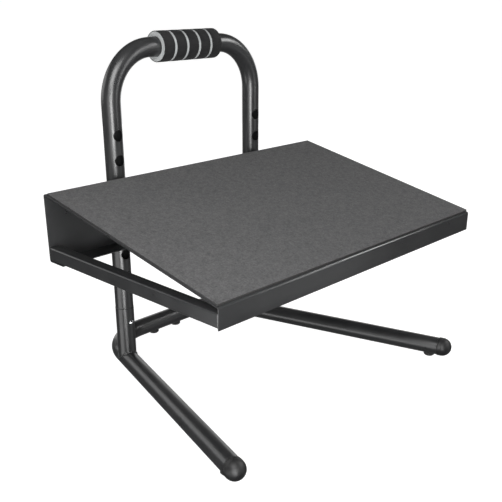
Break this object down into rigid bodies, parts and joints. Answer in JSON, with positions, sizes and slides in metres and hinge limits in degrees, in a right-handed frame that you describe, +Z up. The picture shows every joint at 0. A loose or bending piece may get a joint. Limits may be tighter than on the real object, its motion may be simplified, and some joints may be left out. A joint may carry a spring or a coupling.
{
  "type": "slant board",
  "caption": "Slanted foot platform with an anti-slip mat that slides on two uprights of a bent-tube stand, locked by spring pins, with a foam-gripped carry handle.",
  "frame": {"origin": "on the floor, under the middle of the whole object's box", "axes": "+Z up, +Y to the back where the uprights and the crossbar are, +X to the right as seen from the low front edge"},
  "size_m": [0.491, 0.4116, 0.4665],
  "materials": {
    "powder_coat": "charcoal satin powder coat",
    "mat": "fine-grained matte anti-slip sheet",
    "foam_black": "fine closed-cell foam",
    "foam_grey": "light grey foam",
    "plastic": "moulded black plastic, satin",
    "rubber": "matte black rubber",
    "nylon": "black nylon",
    "chrome": "bright chrome",
    "zinc": "zinc-plated steel"
  },
  "bodies": {
    "stand": {"base_tube": "powder_coat", "handle_tube": "powder_coat", "grip_core": "foam_grey", "grip_band_1": "foam_black", "grip_band_2": "foam_black", "grip_band_3": "foam_black", "grip_band_4": "foam_black", "grip_band_5": "foam_black", "left_lower_post": "powder_coat", "left_leg_cap": "plastic", "left_leg_foot": "rubber", "left_crossbar_foot": "rubber", "left_spigot": "zinc", "left_button_spring": "zinc", "right_lower_post": "powder_coat", "right_leg_cap": "plastic", "right_leg_foot": "rubber", "right_crossbar_foot": "rubber", "right_spigot": "zinc", "right_button_spring": "zinc"},
    "deck": {"deck_plate": "powder_coat", "deck_mat": "mat", "left_side_rail": "powder_coat", "left_post_bush": "nylon", "left_post_strap": "powder_coat", "left_plunger_barrel": "zinc", "left_pin_spring": "zinc", "left_strap_bolt_1": "zinc", "left_strap_bolt_2": "zinc", "left_strap_bolt_3": "zinc", "left_strap_bolt_4": "zinc", "left_strap_nut_1": "zinc", "left_strap_nut_2": "zinc", "left_strap_nut_3": "zinc", "left_strap_nut_4": "zinc", "right_side_rail": "powder_coat", "right_post_bush": "nylon", "right_post_strap": "powder_coat", "right_plunger_barrel": "zinc", "right_pin_spring": "zinc", "right_strap_bolt_1": "zinc", "right_strap_bolt_2": "zinc", "right_strap_bolt_3": "zinc", "right_strap_bolt_4": "zinc", "right_strap_nut_1": "zinc", "right_strap_nut_2": "zinc", "right_strap_nut_3": "zinc", "right_strap_nut_4": "zinc"},
    "left_pin": {"left_lock_pin": "chrome", "left_pull_knob": "plastic"},
    "right_pin": {"right_lock_pin": "chrome", "right_pull_knob": "plastic"},
    "left_button": {"left_snap_button": "chrome"},
    "right_button": {"right_snap_button": "chrome"}
  },
  "joints": [
    {"name": "deck_height", "type": "slide", "parent": "stand", "child": "deck", "axis": [0, 0, 1], "range_m": [-0.0972, 0.0972]},
    {"name": "left_pin_pull", "type": "slide", "parent": "deck", "child": "left_pin", "axis": [0, -1, 0], "range_m": [0, 0.009], "stiffness_N_per_m": 1500, "springref_m": -0.006, "deforming": ["left_pin_spring"]},
    {"name": "left_button_press", "type": "slide", "parent": "stand", "child": "left_button", "axis": [0, 1, 0], "range_m": [0, 0.005], "stiffness_N_per_m": 1500, "springref_m": -0.002},
    {"name": "right_pin_pull", "type": "slide", "parent": "deck", "child": "right_pin", "axis": [0, -1, 0], "range_m": [0, 0.009], "stiffness_N_per_m": 1500, "springref_m": -0.006, "deforming": ["right_pin_spring"]},
    {"name": "right_button_press", "type": "slide", "parent": "stand", "child": "right_button", "axis": [0, 1, 0], "range_m": [0, 0.005], "stiffness_N_per_m": 1500, "springref_m": -0.002}
  ]
}
